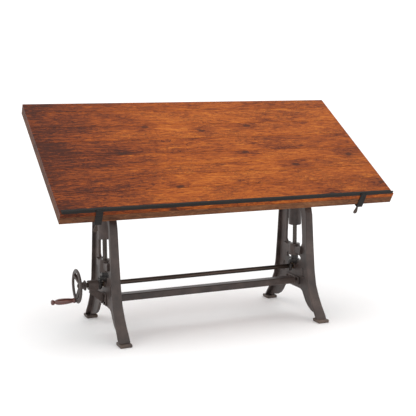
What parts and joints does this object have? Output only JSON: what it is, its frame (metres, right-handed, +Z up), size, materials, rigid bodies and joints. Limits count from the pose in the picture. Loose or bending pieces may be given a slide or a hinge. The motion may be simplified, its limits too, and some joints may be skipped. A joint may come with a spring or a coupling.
{
  "type": "drafting table",
  "caption": "Drafting table: wide tilting plank top with a pencil ledge, on splayed cast-iron pedestals whose lift screws are turned together by a side handwheel and cross shaft.",
  "frame": {"origin": "middle of the table's footprint, on the floor", "axes": "+X along the top's long side with the crank on the -X side, +Y from the low front edge to the high back edge, +Z up"},
  "size_m": [1.8288, 0.822, 1.1978],
  "materials": {
    "cast_iron": "dark brown satin casting",
    "dark_steel": "blackened satin steel",
    "screw_steel": "oiled machined steel",
    "bronze": "plain bearing bronze",
    "top_wood": "satin oiled hardwood planks",
    "grip_wood": "dark red-brown turned hardwood"
  },
  "bodies": {
    "base": {"pedestal_left": "cast_iron", "pedestal_right": "cast_iron", "foot_left_front": "cast_iron", "foot_left_back": "cast_iron", "foot_right_front": "cast_iron", "foot_right_back": "cast_iron", "web_bush_left": "bronze", "web_bush_right": "bronze", "stretcher": "cast_iron", "bearing_bracket": "cast_iron", "bearing_bush": "bronze"},
    "crank": {"cross_shaft": "dark_steel", "pinion_left": "cast_iron", "pinion_right": "cast_iron", "shaft_stop": "dark_steel", "handwheel": "cast_iron", "wheel_cap": "dark_steel", "handle_spindle": "dark_steel"},
    "grip": {"handle_grip": "grip_wood"},
    "screw_left": {"lift_screw_left": "screw_steel", "thrust_collar_left": "dark_steel", "crown_gear_left": "cast_iron"},
    "screw_right": {"lift_screw_right": "screw_steel", "thrust_collar_right": "dark_steel", "crown_gear_right": "cast_iron"},
    "lift": {"lift_sleeve_left": "cast_iron", "lift_sleeve_right": "cast_iron", "lift_nut_left": "bronze", "lift_nut_right": "bronze", "tilt_head_left": "cast_iron", "tilt_head_right": "cast_iron", "lock_bolt_left": "dark_steel", "lock_bolt_right": "dark_steel", "tilt_shaft": "dark_steel"},
    "lever_left": {"lock_lever_left": "cast_iron"},
    "lever_right": {"lock_lever_right": "cast_iron"},
    "top": {"top_plank_1": "top_wood", "top_plank_2": "top_wood", "top_plank_3": "top_wood", "top_plank_4": "top_wood", "top_plank_5": "top_wood", "top_plank_6": "top_wood", "top_plank_7": "top_wood", "top_plank_8": "top_wood", "front_rail": "top_wood", "back_rail": "top_wood", "end_rail_left": "top_wood", "end_rail_right": "top_wood", "batten_left": "top_wood", "batten_centre": "top_wood", "batten_right": "top_wood", "top_bracket_left": "cast_iron", "top_bracket_right": "cast_iron", "pencil_ledge": "dark_steel", "ledge_clamp_left": "dark_steel", "ledge_clamp_right": "dark_steel"},
    "thumb_left": {"thumbscrew_left": "dark_steel"},
    "thumb_right": {"thumbscrew_right": "dark_steel"}
  },
  "joints": [
    {"name": "crank_turn", "type": "hinge", "parent": "base", "child": "crank", "pos_m": [0, 0.06701, 0.2575], "axis": [1, 0, 0], "range_deg": [-4050, 6750]},
    {"name": "handle_spin", "type": "hinge", "parent": "crank", "child": "grip", "pos_m": [-0.79, 0.08227, 0.17897], "axis": [1, 0, 0], "continuous": true},
    {"name": "screw_left_turn", "type": "hinge", "parent": "base", "child": "screw_left", "pos_m": [-0.5676, 0.06701, 0.4], "axis": [0, 0, 1], "range_deg": [-3241, 5401]},
    {"name": "screw_right_turn", "type": "hinge", "parent": "base", "child": "screw_right", "pos_m": [0.5676, 0.06701, 0.4], "axis": [0, 0, 1], "range_deg": [-3241, 5401]},
    {"name": "lift_slide", "type": "slide", "parent": "base", "child": "lift", "axis": [0, 0, 1], "range_m": [-0.0901, 0.1501]},
    {"name": "top_tilt", "type": "hinge", "parent": "lift", "child": "top", "pos_m": [0, 0.06701, 0.8312], "axis": [1, 0, 0], "range_deg": [-32, 13]},
    {"name": "lock_lever_left_turn", "type": "hinge", "parent": "lift", "child": "lever_left", "pos_m": [-0.5936, 0.11869, 0.85001], "axis": [1, 0, 0], "range_deg": [-10, 40]},
    {"name": "lock_lever_right_turn", "type": "hinge", "parent": "lift", "child": "lever_right", "pos_m": [0.5936, 0.11869, 0.85001], "axis": [1, 0, 0], "range_deg": [-10, 40]},
    {"name": "thumbscrew_left_turn", "type": "hinge", "parent": "top", "child": "thumb_left", "pos_m": [-0.727, -0.31012, 0.59554], "axis": [0, -0.5299, 0.848], "range_deg": [-1080, 0]},
    {"name": "thumbscrew_right_turn", "type": "hinge", "parent": "top", "child": "thumb_right", "pos_m": [0.722, -0.31012, 0.59554], "axis": [0, -0.5299, 0.848], "range_deg": [-1080, 0]}
  ],
  "couplings": [
    {"joint": "screw_left_turn", "follows": "crank_turn", "ratio": 0.8},
    {"joint": "screw_right_turn", "follows": "crank_turn", "ratio": 0.8},
    {"joint": "lift_slide", "follows": "crank_turn", "m_per_rad": 0.0012732}
  ]
}
